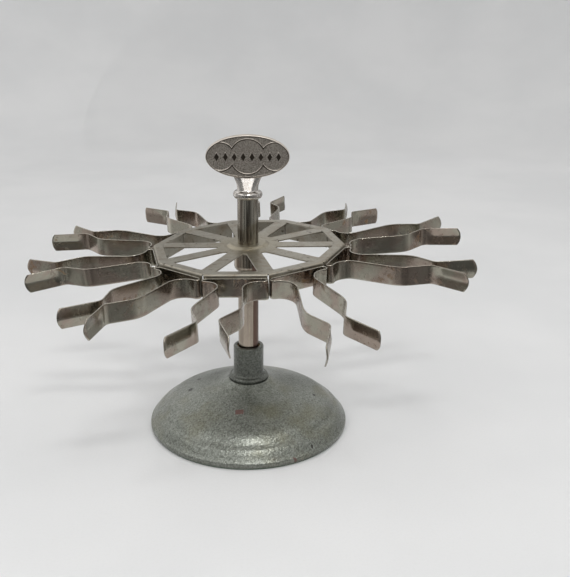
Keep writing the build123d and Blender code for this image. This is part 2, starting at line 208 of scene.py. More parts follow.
def facing_out(piece):
    edit = bmesh.new()
    edit.from_mesh(piece.data)
    bmesh.ops.recalc_face_normals(edit, faces=edit.faces)
    edit.to_mesh(piece.data)
    edit.free()


# ---- spring clips ----

def arm_sections(side, swing):
    """Half a clip's centre line: (x, y, heading, length so far, length into the flare)."""
    moves = [
        (None, WELD_ZONE, FINE_STEP),
        (None, CURL_CENTRE - WELD_ZONE, COARSE_STEP),
        (CURL_RADIUS, -side * 180 + swing, ARC_STEP),
        (THROAT_RADIUS, side * (90 + RISE_ANGLE), ARC_STEP),
        (None, RISE_LENGTH, COARSE_STEP),
        (BELLY_NEAR_RADIUS, -side * RISE_ANGLE, ARC_STEP / 2),
        (BELLY_FAR_RADIUS, -side * FALL_ANGLE, ARC_STEP),
        (None, FALL_LENGTH, COARSE_STEP),
        (NECK_RADIUS, side * (FALL_ANGLE + FLARE_ANGLE), ARC_STEP),
        (None, CREASE_RUN, FINE_STEP),
        (None, FLARE_LENGTH - CREASE_RUN, COARSE_STEP),
    ]
    x, y, heading, length, flare = PLATE_APOTHEM + STRIP / 2, 0.0, math.radians(90 * side), 0.0, 0.0
    sections = [(x, y, heading, length, flare)]
    flare_moves = moves[-2:]
    for move in moves:
        radius, amount, step = move
        count = max(1, round(abs(amount) / step))
        turn = 0.0 if radius is None else math.radians(amount) / count
        chord = abs(amount) / count if radius is None else 2 * radius * math.sin(abs(turn) / 2)
        arc = chord if radius is None else radius * abs(turn)
        for _ in range(count):
            x += chord * math.cos(heading + turn / 2)
            y += chord * math.sin(heading + turn / 2)
            heading += turn
            length += arc
            flare += arc if move in flare_moves else 0.0
            sections.append((x, y, heading, length, flare))
    return sections


def strip_loop():
    """Loop round the strip's cross-section: (outward offset, height, face), face 1 being outer."""
    top = STRIP_HEIGHT / 2 - EDGE_ROUND
    heights = [top * (2 * row / (STRIP_ROWS - 1) - 1) for row in range(STRIP_ROWS)]
    arc = [math.radians(angle) for angle in (45, 90, 135)]
    outer = [(STRIP / 2, height, 1) for height in heights]
    over = [(STRIP / 2 * math.cos(a), top + EDGE_ROUND * math.sin(a), 0) for a in arc]
    inner = [(-STRIP / 2, height, -1) for height in reversed(heights)]
    under = [(-STRIP / 2 * math.cos(a), -top - EDGE_ROUND * math.sin(a), 0) for a in arc]
    return outer + over + inner + under


def crease(height, flare):
    """Inward offset of the creased flare; the ridge runs along the middle."""
    ridge = math.hypot(height, RIDGE_ROUND) - RIDGE_ROUND
    full = math.hypot(STRIP_HEIGHT / 2, RIDGE_ROUND) - RIDGE_ROUND
    return CREASE_DEPTH * smoothstep(flare / CREASE_RUN) * (1 - ridge / full)


def tip_setback(height, flare):
    """How far a point near the end is drawn back, so that the end is an arc."""
    full = TIP_ARC - math.sqrt(TIP_ARC ** 2 - height ** 2)
    return full * max(0.0, 1 - (FLARE_LENGTH - flare) / TIP_RUN)


def weld_dent(along, height):
    """Depth of the two weld marks in the strip's visible face."""
    reach = min(math.hypot(along - place, height) for place in (-WELD_OFFSET, WELD_OFFSET))
    return WELD_DEPTH * math.exp(-((reach / WELD_RADIUS) ** 4))


def spring_clip(index, material):
    """One strip swept along its whole centre line, from tip to tip."""
    backward = [
        (x, y, heading + math.pi, -length, flare)
        for x, y, heading, length, flare in reversed(arm_sections(-1, SWING[index][0])[1:])
    ]
    sections = backward + arm_sections(1, SWING[index][1])
    loop = strip_loop()
    middle = PLATE_TOP - FLANGE_DEPTH + STRIP_HEIGHT / 2
    pivot = Vector((PLATE_APOTHEM - BEND_RADIUS, 0, PLATE_TOP - BEND_RADIUS))
    droop = Matrix.Rotation(math.radians(DROOP[index]), 3, "Y")
    turn = Matrix.Rotation(side_angle(index), 3, "Z")
    points, uvs = [], []
    for x, y, heading, along, flare in sections:
        outward = (-math.sin(heading), math.cos(heading))
        forward = (math.cos(heading), math.sin(heading))
        for offset, height, face in loop:
            depth = offset - crease(height, flare)
            if face < 0:
                depth += weld_dent(along, height)
            back = math.copysign(tip_setback(height, flare), along)
            place = [at + depth * out - back * ahead for at, out, ahead in zip((x, y), outward, forward)]
            point = Vector((*place, middle + height))
            points.append(leaned(turn @ (droop @ (point - pivot) + pivot)))
            uvs.append(((along + 20 * index) / 10, (height + face * STRIP_HEIGHT) / 10))
    size = len(loop)
    faces = []
    for section in range(len(sections) - 1):
        for corner in range(size):
            after = (corner + 1) % size
            start = section * size
            faces.append((start + corner, start + after, start + size + after, start + size + corner))
    for start in (0, (len(sections) - 1) * size):
        inner = [start + 2 * STRIP_ROWS + 2 - row for row in range(STRIP_ROWS)]
        for row in range(STRIP_ROWS - 1):
            faces.append((start + row, start + row + 1, inner[row + 1], inner[row]))
        faces.append([start + STRIP_ROWS - 1 + corner for corner in range(5)])
        faces.append([start + (2 * STRIP_ROWS + 2 + corner) % size for corner in range(5)])
    name = f"clip_{index + 1:02d}"
    piece = mesh_object(name + "_strip", points, faces, uvs)
    facing_out(piece)
    weigh_normals(piece)
    apply_modifiers(piece)
    place_piece(piece, name, material)


# ---- spoked plate ----

def hub_height(radius):
    """Height of the plate's middle surface: raised by a shallow dish round the hole."""
    return HUB_RAISE * (1 - smoothstep((radius - 10.0) / 3.4))


def window_outline(steps):
    """Half of a window's edge, from its inner end to its outer corner, in the side's own axes."""
    slope = math.tan(math.radians(SIDE_STEP / 2))
    offset = SPOKE_WIDTH / 2 / math.cos(math.radians(SIDE_STEP / 2))
    outer = PLATE_APOTHEM - RIM_WIDTH
    half_inner = WINDOW_START * slope - offset
    start = WINDOW_START + WINDOW_ROUND
    edge = [
        (WINDOW_START, 0.0),
        (WINDOW_START + 0.12 * WINDOW_ROUND, 0.5 * half_inner),
        (WINDOW_START + 0.45 * WINDOW_ROUND, 0.9 * half_inner + 0.05),
    ]
    for step in range(steps + 1):
        x = start + (outer - start) * step / steps
        edge.append((x, x * slope - offset))
    return edge


def plate_sheet(steps=24):
    """The plate's middle surface as quads, one half side at a time."""
    slope = math.tan(math.radians(SIDE_STEP / 2))
    flat_end = PLATE_APOTHEM - BEND_RADIUS
    outer = PLATE_APOTHEM - RIM_WIDTH
    edge = window_outline(steps)
    half_outer = edge[-1][1]
    points, faces = [], []

    def grid(rows):
        """Quads between rows of the same number of points."""
        start = len(points)
        width = len(rows[0])
        for row in rows:
            points.extend(row)
        for line in range(len(rows) - 1):
            for column in range(width - 1):
                corner = start + line * width + column
                faces.append((corner, corner + 1, corner + width + 1, corner + width))

    for index in range(SIDES):
        for half in (1, -1):
            turn = Matrix.Rotation(side_angle(index), 3, "Z")

            def put(x, y, height=0.0):
                return turn @ Vector((x, half * y, height))

            centre_line = []
            for x, _ in edge:
                share = (x - WINDOW_START) / (outer - WINDOW_START)
                reach = SPOKE_MIDDLE_START + (outer - SPOKE_MIDDLE_START) * share
                centre_line.append(put(reach, reach * slope))
            window_edge = [put(x, y) for x, y in edge]
            spoke_middle = [(a + b) / 2 for a, b in zip(window_edge, centre_line)]
            grid([window_edge[2:], spoke_middle[2:], centre_line[2:]])
            inner_boundary = window_edge[:3] + [spoke_middle[2], centre_line[2]]
            rings = []
            for radius in HUB_RINGS:
                ring = []
                for column in range(len(inner_boundary)):
                    angle = math.radians(SIDE_STEP / 2) * column / (len(inner_boundary) - 1)
                    ring.append(put(radius * math.cos(angle), radius * math.sin(angle), hub_height(radius)))
                rings.append(ring)
            grid(rings + [inner_boundary])
            across = [half_outer * step / 6 for step in range(7)]
            grid([[put(outer, y) for y in across], [put(flat_end, y) for y in across]])
            corner = len(points)
            points.extend([
                put(outer, half_outer),
                put(flat_end, half_outer),
                put(flat_end, FLANGE_HALF_WIDTH),
                put(flat_end, flat_end * slope),
                put(outer, outer * slope),
            ])
            faces.append((corner, corner + 1, corner + 2, corner + 4))
            faces.append((corner + 2, corner + 3, corner + 4))
            columns = across + [FLANGE_HALF_WIDTH]
            bend = BEND_RADIUS - SHEET / 2
            last = math.radians(90 + DROOP[index])
            profile = [
                (flat_end + bend * math.sin(last * step / 5), bend * math.cos(last * step / 5) - bend)
                for step in range(6)
            ]
            for drop in (3, 6, 9, FLANGE_DEPTH - BEND_RADIUS):
                end_x, end_z = profile[5]
                profile.append((end_x + math.cos(last) * drop, end_z - math.sin(last) * drop))
            grid([[put(x, y, z) for y in columns] for x, z in profile])
    return points, faces


def spider_plate(material):
    points, faces = plate_sheet()
    placed = [leaned(point + Vector((0, 0, PLATE_TOP - SHEET / 2))) for point in points]
    piece = mesh_object("spider_plate_sheet", placed, faces)
    edit = bmesh.new()
    edit.from_mesh(piece.data)
    bmesh.ops.remove_doubles(edit, verts=edit.verts, dist=0.02 * MM)
    bmesh.ops.recalc_face_normals(edit, faces=edit.faces)
    edit.to_mesh(piece.data)
    edit.free()
    solid = piece.modifiers.new("thickness", "SOLIDIFY")
    solid.thickness = SHEET * MM
    solid.offset = 0
    solid.use_even_offset = True
    rounded = piece.modifiers.new("edges", "BEVEL")
    rounded.width = 0.18 * MM
    rounded.segments = 2
    rounded.angle_limit = math.radians(50)
    weigh_normals(piece)
    apply_modifiers(piece)
    place_piece(piece, "spider_plate", material)


# ---- grip ----

def border_distance(x, z):
    """Signed distance from the outline of the three overlapping circles, negative inside."""
    return min(math.hypot(x - centre, z) - radius for centre, radius in CIRCLES)


def relief(x, z):
    """Height in millimetres of the raised line and lozenges above the recessed field."""
    beyond = abs(border_distance(x, z)) - LINE_HALF_WIDTH
    for place in LOZENGES:
        reach = abs(x - place) / LOZENGE_HALF_WIDTH + abs(z) / LOZENGE_HALF_HEIGHT - 1
        beyond = min(beyond, reach * LOZENGE_HALF_WIDTH)
    return RELIEF * (1 - smoothstep(beyond / SLOPE_WIDTH + 0.5))


def grip_face(x, z, into):
    """Height over the recess floor, and a value from 0, dark, to 1, bright: oxide in the field's hollows,
    painted shade on what stands up, and a painted highlight on its upward-facing slopes.
    """
    rim = smoothstep((GRIP_RIM + 0.15 - into) / SLOPE_WIDTH)
    pebble = noise.noise(Vector((x, z, 3.1)) / PEBBLE_SIZE)
    raised = relief(x, z)
    stands_up = max(rim, raised / RELIEF)
    # Painted highlight: slopes of raised parts that face up, and in the lower half the rim's inner slope,
    # are made bright.
    painted_highlight = smoothstep((relief(x, z - 0.15) - relief(x, z + 0.15)) / RELIEF)
    if z < 0:
        painted_highlight = max(painted_highlight, 4 * rim * (1 - rim))
    height = rim * GRIP_RECESS + (1 - rim) * raised + PEBBLE_DEPTH * pebble * (1 - stands_up)
    # Painted shade: the raised line, lozenges and rim are made dark; the field is darker in the hollows of
    # its pebbling.
    wear_and_painted_light = (0.58 + 0.3 * pebble) * (1 - stands_up) + 0.08 * stands_up
    return height, max(wear_and_painted_light, 0.85 * painted_highlight)


def oval_rings():
    """Rings of the oval from the middle of the front to its edge: (half width, half height, depth)."""
    half_width, half_height, front = GRIP_WIDTH / 2, GRIP_HEIGHT / 2, GRIP_THICKNESS / 2
    inner_width = half_width - GRIP_RIM - FIELD_MARGIN
    inner_height = half_height - GRIP_RIM - FIELD_MARGIN
    floor = front - GRIP_RECESS
    rings = []
    for ring in range(1, GRIP_RINGS + 1):
        share = ring / GRIP_RINGS
        rings.append((inner_width * share, inner_height * share, floor))
    for inset in (*RIM_INSETS, GRIP_EDGE_ROUND):
        rings.append((half_width - inset, half_height - inset, floor))
    for step in range(1, 7):
        angle = math.radians(15 * step)
        inset = GRIP_EDGE_ROUND * (1 - math.sin(angle))
        depth = front - GRIP_EDGE_ROUND * (1 - math.cos(angle))
        rings.append((half_width - inset, half_height - inset, depth))
    return rings


def oval_points(side):
    """Points, and values of wear and painted light, of one face of the oval; side is -1 for the front and 1
    for the back.
    """
    points, wear_and_painted_light_values = [], []
    field_rings = GRIP_RINGS + len(RIM_INSETS) + 1
    for count, (width, height, depth) in enumerate(oval_rings()):
        for spoke in range(GRIP_SPOKES):
            angle = 2 * math.pi * spoke / GRIP_SPOKES
            x, z = width * math.cos(angle), height * math.sin(angle)
            wear_and_painted_light = 1.0
            lift = 0.0
            if count < field_rings:
                inside = GRIP_WIDTH / 2 - width if count >= GRIP_RINGS else GRIP_RIM + FIELD_MARGIN
                lift, wear_and_painted_light = grip_face(x, z, inside)
            points.append((side * x * -1, side * (depth + lift), GRIP_CENTRE + z))
            wear_and_painted_light_values.append(wear_and_painted_light)
    return points, wear_and_painted_light_values


def grip_oval():
    """Closed oval plate: two faces of rings, with their middles filled and their edges joined."""
    points, wear_and_painted_light_values, faces = [], [], []
    for side in (-1, 1):
        start = len(points)
        face_points, face_wears = oval_points(side)
        lift, wear_and_painted_light = grip_face(0, 0, GRIP_RIM + 0.5)
        depth = GRIP_THICKNESS / 2 - GRIP_RECESS + lift
        points.extend(face_points + [(0, side * depth, GRIP_CENTRE)])
        wear_and_painted_light_values.extend(face_wears + [wear_and_painted_light])
        middle = len(points) - 1
        rings = len(face_points) // GRIP_SPOKES
        for spoke in range(GRIP_SPOKES):
            after = (spoke + 1) % GRIP_SPOKES
            faces.append((middle, start + spoke, start + after))
            for ring in range(rings - 1):
                inner = start + ring * GRIP_SPOKES
                outer = inner + GRIP_SPOKES
                faces.append((inner + spoke, outer + spoke, outer + after, inner + after))
    size = len(points) // 2
    for spoke in range(GRIP_SPOKES):
        after = (spoke + 1) % GRIP_SPOKES
        front = size - 1 - GRIP_SPOKES
        back = 2 * size - 1 - GRIP_SPOKES
        mirrored = (GRIP_SPOKES // 2 - spoke) % GRIP_SPOKES
        mirrored_after = (GRIP_SPOKES // 2 - after) % GRIP_SPOKES
        faces.append((front + spoke, front + after, back + mirrored_after, back + mirrored))
    piece = mesh_object("grip_body", points, faces)
    wear_and_painted_light_layer = piece.data.attributes.new("wear_and_painted_light", "FLOAT", "POINT")
    wear_and_painted_light_layer.data.foreach_set("value", wear_and_painted_light_values)
    facing_out(piece)
    return piece


def grip_neck():
    """Bead and flared neck, round at the foot and as thin as the oval at the top."""
    spokes = 96
    rings = [(STUD_HOLE, STUD_HOLE, 0.0), (COLLAR_BEAD_RADIUS - 2.1, COLLAR_BEAD_RADIUS - 2.1, 0.0)]
    for step in range(9):
        angle = math.radians(-80 + 20 * step)
        radius = COLLAR_BEAD_RADIUS - 2.0 + 2.0 * math.cos(angle)
        rings.append((radius, radius, COLLAR_BEAD_HEIGHT * (1 + math.sin(angle)) / 2))
    neck_foot = COLLAR_BEAD_HEIGHT + 0.1
    neck_length = GRIP_CENTRE - GRIP_HEIGHT / 2 + 2.2 - GRIP_FOOT - neck_foot
    for step in range(19):
        share = step / 18
        width = WAIST_RADIUS + NECK_FLARE * share ** 2.2
        depth = WAIST_RADIUS + (GRIP_THICKNESS / 2 - 0.8 - WAIST_RADIUS) * share
        rings.append((width, depth, neck_foot + neck_length * share))
    points, faces = [], []
    for width, depth, height in rings:
        for spoke in range(spokes):
            angle = 2 * math.pi * spoke / spokes
            points.append((width * math.cos(angle), depth * math.sin(angle), GRIP_FOOT + height))
    for ring in range(len(rings) - 1):
        for spoke in range(spokes):
            after = (spoke + 1) % spokes
            start = ring * spokes
            faces.append((start + spoke, start + after, start + spokes + after, start + spokes + spoke))
    faces.append(list(range(spokes)))
    faces.append(list(range(len(points) - spokes, len(points))))
    piece = mesh_object("grip_neck", points, faces)
    facing_out(piece)
    return piece


def polish_neck(piece):
    """Gives all of the mesh below the oval the value 2 of wear and painted light, for polish."""
    wear_and_painted_light = piece.data.attributes["wear_and_painted_light"].data
    for vertex in piece.data.vertices:
        x, z = vertex.co.x / MM, vertex.co.z / MM - GRIP_CENTRE
        if z < 0 and (2 * x / GRIP_WIDTH) ** 2 + (2 * z / GRIP_HEIGHT) ** 2 > 1.005:
            wear_and_painted_light[vertex.index].value = 2.0


def grip(material):
    """Oval and neck as one closed mesh."""
    piece = grip_oval()
    neck = grip_neck()
    union = piece.modifiers.new("neck", "BOOLEAN")
    union.operation = "UNION"
    union.solver = "EXACT"
    union.object = neck
    apply_modifiers(piece)
    bpy.data.objects.remove(neck)
    polish_neck(piece)
    place_piece(piece, "grip", material)


# ---- materials ----

class Graph:
    """A material's nodes, added one call at a time."""

    def __init__(self, name):
        self.material = bpy.data.materials.new(name)
        self.material.use_nodes = True
        self.nodes = self.material.node_tree.nodes
        self.links = self.material.node_tree.links
        self.nodes.clear()
        self.shader = self.nodes.new("ShaderNodeBsdfPrincipled")
        output = self.nodes.new("ShaderNodeOutputMaterial")
        self.links.new(self.shader.outputs[0], output.inputs["Surface"])

    def add(self, kind, inputs=(), output=0, **settings):
        """New node with its settings; inputs are (socket, number or linked output) pairs."""
        node = self.nodes.new("ShaderNode" + kind)
        for name, value in settings.items():
            setattr(node, name, value)
        for socket, value in inputs:
            if isinstance(value, bpy.types.NodeSocket):
                self.links.new(value, node.inputs[socket])
            else:
                node.inputs[socket].default_value = value
        return node.outputs[output]

    def surface(self, **values):
        """Sets or links the shader's own sockets, named with _ for a space."""
        for name, value in values.items():
            socket = self.shader.inputs[name.replace("_", " ")]
            if isinstance(value, bpy.types.NodeSocket):
                self.links.new(value, socket)
            else:
                socket.default_value = value

    def place(self, stretch=(1, 1, 1), source="Object"):
        """Object or UV coordinates, scaled."""
        where = self.nodes.new("ShaderNodeTexCoord").outputs[source]
        return self.add("Mapping", [("Vector", where), ("Scale", stretch)])

    def noise(self, place, scale, detail=4.0, rough=0.55, warp=0.0):
        settings = [("Vector", place), ("Scale", scale), ("Detail", detail)]
        settings += [("Roughness", rough), ("Distortion", warp)]
        return self.add("TexNoise", settings)

    def ramp(self, value, low, high, to_low=0.0, to_high=1.0):
        """Smooth change from to_low to to_high as value goes from low to high."""
        settings = [("Value", value), ("From Min", low), ("From Max", high)]
        settings += [("To Min", to_low), ("To Max", to_high)]
        return self.add("MapRange", settings, interpolation_type="SMOOTHSTEP")

    def mix(self, factor, first, second):
        """Blend of two colours."""
        first = (*first, 1) if isinstance(first, tuple) else first
        second = (*second, 1) if isinstance(second, tuple) else second
        return self.add("Mix", [(0, factor), (6, first), (7, second)], output=2, data_type="RGBA")

    def math(self, operation, *values):
        return self.add("Math", list(enumerate(values)), operation=operation)

    def bump(self, height, depth, normal=None, strength=1.0):
        settings = [("Height", height), ("Distance", depth * MM), ("Strength", strength)]
        if normal is not None:
            settings.append(("Normal", normal))
        return self.add("Bump", settings)

    def patch(self, centre, half_sizes, ragged):
        """1 within a ragged rectangle, else 0. Seen from above, in millimetres."""
        scale = (*(1 / (size * MM) for size in half_sizes), 0)
        shift = (*(-at / size for at, size in zip(centre, half_sizes)), 0)
        where = self.nodes.new("ShaderNodeTexCoord").outputs["Object"]
        place = self.add("Mapping", [("Vector", where), ("Location", shift), ("Scale", scale)])
        parts = [self.add("SeparateXYZ", [("Vector", place)], output=axis) for axis in (0, 1)]
        across = [self.math("ABSOLUTE", part) for part in parts]
        reach = self.math("MULTIPLY_ADD", ragged, 0.5, self.math("MAXIMUM", *across))
        return self.ramp(reach, 1.2, 1.35, 1.0, 0.0)


RUST_CHIPS = [((-5.8, -33.4), (2.5, 1.8)), ((27.2, -57.2), (1.3, 0.35))]       # centre and half sizes
DARK_SPECKS = [((-33.1, 15.3), 1.1), ((-37.8, 0.8), 1.2), ((42.2, -4.7), 0.9), ((37.9, -47.9), 0.5)]


def hammertone_paint(name, brightness_under_painted_shade):
    """Grey-green metallic paint that dried in small shining cells, with a few chips, painted shade near the
    floor, and painted shade over all where the brightness given is below 1.
    """
    g = Graph(name)
    place = g.place()
    warp = g.noise(place, 900, detail=2)
    cells_place = g.add("Mix", [(0, 0.0016), (4, place), (5, warp)], output=1, data_type="VECTOR")
    cells = g.add("TexVoronoi", [("Vector", cells_place), ("Scale", 1000)], feature="SMOOTH_F1")
    fine = g.noise(place, 1500, detail=3, rough=0.6)
    broad = g.noise(place, 38, detail=3, rough=0.5)
    blotch = g.noise(place, 95, detail=4, rough=0.6, warp=0.6)
    wrinkles = g.noise(place, 420, detail=3, rough=0.6, warp=1.2)
    paint = g.mix(g.ramp(cells, 0.15, 0.75), (0.285, 0.30, 0.27), (0.12, 0.128, 0.108))
    paint = g.mix(g.ramp(fine, 0.45, 0.7, 0.0, 0.4), paint, (0.36, 0.375, 0.34))
    paint = g.mix(g.ramp(wrinkles, 0.42, 0.6, 0.3, 0.0), paint, (0.11, 0.118, 0.098))
    paint = g.mix(g.ramp(broad, 0.48, 0.72, 0.0, 0.6), paint, (0.165, 0.158, 0.10))
    paint = g.mix(g.ramp(blotch, 0.60, 0.78, 0.0, 0.5), paint, (0.11, 0.10, 0.075))
    # Painted shade: darker within 4 mm of the floor, where the base stands on it.
    height = g.add("SeparateXYZ", [("Vector", g.place())], output=2)
    paint = g.mix(g.ramp(height, 0.0, 4 * MM, 0.5, 0.0), paint, (0.09, 0.087, 0.07))
    bare = 0.0
    for centre, half_sizes in RUST_CHIPS:
        bare = g.math("MAXIMUM", bare, g.patch(centre, half_sizes, fine))
    paint = g.mix(bare, paint, (0.10, 0.052, 0.043))
    for centre, radius in DARK_SPECKS:
        paint = g.mix(g.patch(centre, (radius, 1.4 * radius), blotch), paint, (0.035, 0.032, 0.026))
    # Painted shade: below 1, the whole paint is darkened, making a shaded copy of it.
    paint = g.mix(1.0 - brightness_under_painted_shade, paint, (0.0, 0.0, 0.0))
    g.surface(Base_Color=paint, Coat_Weight=0.12, Coat_Roughness=0.22)
    g.surface(Metallic=g.math("MULTIPLY_ADD", bare, -0.8, 0.8))
    g.surface(Roughness=g.ramp(g.math("ADD", fine, bare), 0.3, 1.2, 0.27, 0.55))
    dimples = g.bump(cells, 0.17)
    g.surface(Normal=g.bump(wrinkles, 0.25, g.bump(broad, 1.2, dimples, 0.5)))
    return g.material


def tarnish(g, place, scale, amount):
    """Soft brown film, as old nickel has, from 0 to amount."""
    cloud = g.noise(place, scale, detail=5, rough=0.62, warp=0.8)
    return g.ramp(cloud, 0.42, 0.74, 0.0, amount)


def turned_nickel(name, light, dark, painted_reflection_side):
    """Old nickel on a round bar: smooth, streaked along it, with a painted reflection, dark brown, towards
    +X past the side given.
    """
    g = Graph(name)
    place = g.place()
    streaks = g.noise(g.place((330, 330, 14)), 1, detail=3, rough=0.55)
    specks = g.noise(place, 380, detail=2, rough=0.5)
    metal = g.mix(g.ramp(streaks, 0.40, 0.62), light, dark)
    metal = g.mix(tarnish(g, place, 55, 0.4), metal, (0.23, 0.17, 0.125))
    metal = g.mix(g.ramp(specks, 0.70, 0.76, 0.0, 0.5), metal, (0.075, 0.055, 0.04))
    # Painted reflection: the bar is turned dark brown on its +X side.
    across = g.add("SeparateXYZ", [("Vector", place)], output=0)
    uneven = g.math("MULTIPLY_ADD", streaks, 1.2 * MM, across)
    painted_reflection = g.ramp(uneven, (painted_reflection_side + 0.4) * MM, (painted_reflection_side + 0.9) * MM)
    metal = g.mix(g.math("MULTIPLY", painted_reflection, 0.85), metal, (0.105, 0.058, 0.046))
    g.surface(Base_Color=metal, Metallic=1.0)
    g.surface(Roughness=g.ramp(g.math("ADD", streaks, painted_reflection), 0.3, 1.5, 0.14, 0.34))
    g.surface(Normal=g.bump(streaks, 0.02, g.bump(specks, 0.02)))
    return g.material


def post_nickel():
    return turned_nickel("nickel_plate_post", (0.40, 0.345, 0.285), (0.33, 0.285, 0.235), 3.0)


def boss_nickel():
    return turned_nickel("nickel_plate_boss", (0.37, 0.335, 0.28), (0.19, 0.155, 0.12), 2.4)


def sleeve_nickel():
    return turned_nickel("nickel_plate_sleeve", (0.47, 0.45, 0.39), (0.17, 0.15, 0.125), 7.0)


def plate_nickel():
    """Dull nickel on the pressed plate: tan round the middle, with specks and dust."""
    g = Graph("nickel_plate_pressed")
    place = g.place()
    grain = g.noise(place, 900, detail=3, rough=0.7)
    specks = g.noise(place, 260, detail=4, rough=0.65)
    metal = g.mix(tarnish(g, place, 60, 0.7), (0.375, 0.355, 0.30), (0.27, 0.22, 0.155))
    metal = g.mix(tarnish(g, place, 190, 0.4), metal, (0.17, 0.12, 0.08))
    flat = g.add("VectorMath", [(0, place), (1, (1, 1, 0))], operation="MULTIPLY")
    reach = g.add("VectorMath", [(0, flat)], output=1, operation="LENGTH")
    metal = g.mix(g.ramp(reach, 10 * MM, 30 * MM, 0.5, 0.0), metal, (0.36, 0.315, 0.215))
    metal = g.mix(g.ramp(grain, 0.35, 0.7, 0.0, 0.2), metal, (0.29, 0.265, 0.225))
    metal = g.mix(g.ramp(specks, 0.60, 0.67, 0.0, 0.75), metal, (0.07, 0.052, 0.036))
    g.surface(Base_Color=metal, Metallic=1.0)
    g.surface(Roughness=g.ramp(grain, 0.3, 0.7, 0.3, 0.46))
    g.surface(Normal=g.bump(grain, 0.02, g.bump(specks, 0.03)))
    return g.material


def spring_strip():
    """Satin nickel-plated spring strip: greenish and pinkish brown films, rust in patches along it."""
    g = Graph("spring_strip_surface")
    place = g.place()
    along = g.place((1, 1, 1), "UV")
    lines = g.noise(g.place((0.7, 40, 1), "UV"), 1, detail=3, rough=0.6)
    cloud = g.noise(along, 0.55, detail=3, rough=0.55, warp=0.4)
    bloom = g.noise(along, 1.4, detail=4, rough=0.6, warp=0.8)
    specks = g.noise(place, 420, detail=3, rough=0.6)
    rust = g.noise(place, 160, detail=6, rough=0.68, warp=1.0)
    where = g.noise(along, 0.5, detail=2, rough=0.5)
    metal = g.mix(g.ramp(cloud, 0.4, 0.6), (0.36, 0.345, 0.285), (0.345, 0.285, 0.24))
    metal = g.mix(g.ramp(bloom, 0.52, 0.72, 0.0, 0.55), metal, (0.20, 0.155, 0.125))
    metal = g.mix(g.ramp(bloom, 0.46, 0.3, 0.0, 0.3), metal, (0.44, 0.405, 0.335))
    metal = g.mix(g.ramp(lines, 0.4, 0.75, 0.0, 0.08), metal, (0.20, 0.17, 0.14))
    patches = g.math("MULTIPLY", g.ramp(rust, 0.52, 0.64), g.ramp(where, 0.54, 0.66))
    metal = g.mix(g.math("MULTIPLY", patches, 0.8), metal, (0.17, 0.095, 0.035))
    metal = g.mix(g.ramp(specks, 0.63, 0.70, 0.0, 0.55), metal, (0.08, 0.058, 0.04))
    # Painted highlight: the strip's rounded top and bottom edges are made bright.
    height = g.math("ABSOLUTE", g.add("SeparateXYZ", [("Vector", along)], output=1))
    edge = g.ramp(height, EDGE_HIGHLIGHT_BAND, EDGE_HIGHLIGHT_BAND + 0.06, 1.0, 0.0)
    metal = g.mix(edge, metal, (0.46, 0.435, 0.38))
    g.surface(Base_Color=metal)
    g.surface(Metallic=g.math("MULTIPLY_ADD", patches, -0.35, 1.0))
    g.surface(Roughness=g.ramp(g.math("ADD", patches, bloom), 0.3, 1.3, 0.2, 0.5))
    g.surface(Normal=g.bump(lines, 0.006, g.bump(rust, 0.015)))
    return g.material


def antique_nickel():
    """Dark oxide in the hollows of the pebbled field, painted shade on the raised line, lozenges and rim, a
    painted highlight on their upward-facing slopes, rubbed metal on the rounded edge, polish on the neck.
    """
    g = Graph("antique_nickel_surface")
    place = g.place()
    wear_and_painted_light = g.add("Attribute", output=2, attribute_name="wear_and_painted_light")
    grain = g.noise(place, 1300, detail=3, rough=0.6)
    uneven = g.math("MULTIPLY_ADD", grain, 0.35, wear_and_painted_light)
    # The attribute's value runs from dark to light metal: painted shade on raised parts, painted highlight
    # on their upward-facing slopes.
    metal = g.mix(g.ramp(uneven, 0.25, 1.15), (0.05, 0.042, 0.034), (0.62, 0.57, 0.51))
    polished = g.ramp(wear_and_painted_light, 1.3, 1.7)
    film = tarnish(g, place, 220, 0.4)
    metal = g.mix(polished, metal, g.mix(film, (0.54, 0.515, 0.49), (0.27, 0.215, 0.17)))
    g.surface(Base_Color=metal, Metallic=1.0)
    g.surface(Roughness=g.math("MULTIPLY_ADD", polished, -0.36, g.ramp(grain, 0.3, 0.7, 0.44, 0.58)))
    g.surface(Normal=g.bump(grain, 0.03))
    return g.material


def plain_steel():
    g = Graph("plain_steel_surface")
    place = g.place()
    rings = g.noise(g.place((400, 400, 2500)), 1, detail=3)
    steel = g.mix(tarnish(g, place, 260, 0.5), (0.45, 0.44, 0.42), (0.20, 0.13, 0.08))
    g.surface(Base_Color=steel, Metallic=1.0, Roughness=g.ramp(rings, 0.3, 0.7, 0.28, 0.46))
    g.surface(Normal=g.bump(rings, 0.02))
    return g.material


def bronze():
    g = Graph("bronze_surface")
    place = g.place()
    pores = g.noise(place, 2200, detail=2)
    oily = g.noise(place, 140, detail=4)
    g.surface(Base_Color=g.mix(g.ramp(oily, 0.4, 0.7, 0.0, 0.7), (0.50, 0.33, 0.15), (0.16, 0.095, 0.04)))
    g.surface(Metallic=1.0, Roughness=g.ramp(pores, 0.3, 0.7, 0.3, 0.5), Normal=g.bump(pores, 0.04))
    return g.material


def fibre():
    g = Graph("fibre_surface")
    threads = g.noise(g.place((900, 900, 200)), 1, detail=5, rough=0.7)
    g.surface(Base_Color=g.mix(g.ramp(threads, 0.3, 0.7), (0.23, 0.06, 0.035), (0.12, 0.03, 0.02)))
    g.surface(Roughness=g.ramp(threads, 0.3, 0.7, 0.6, 0.8), Normal=g.bump(threads, 0.05))
    return g.material


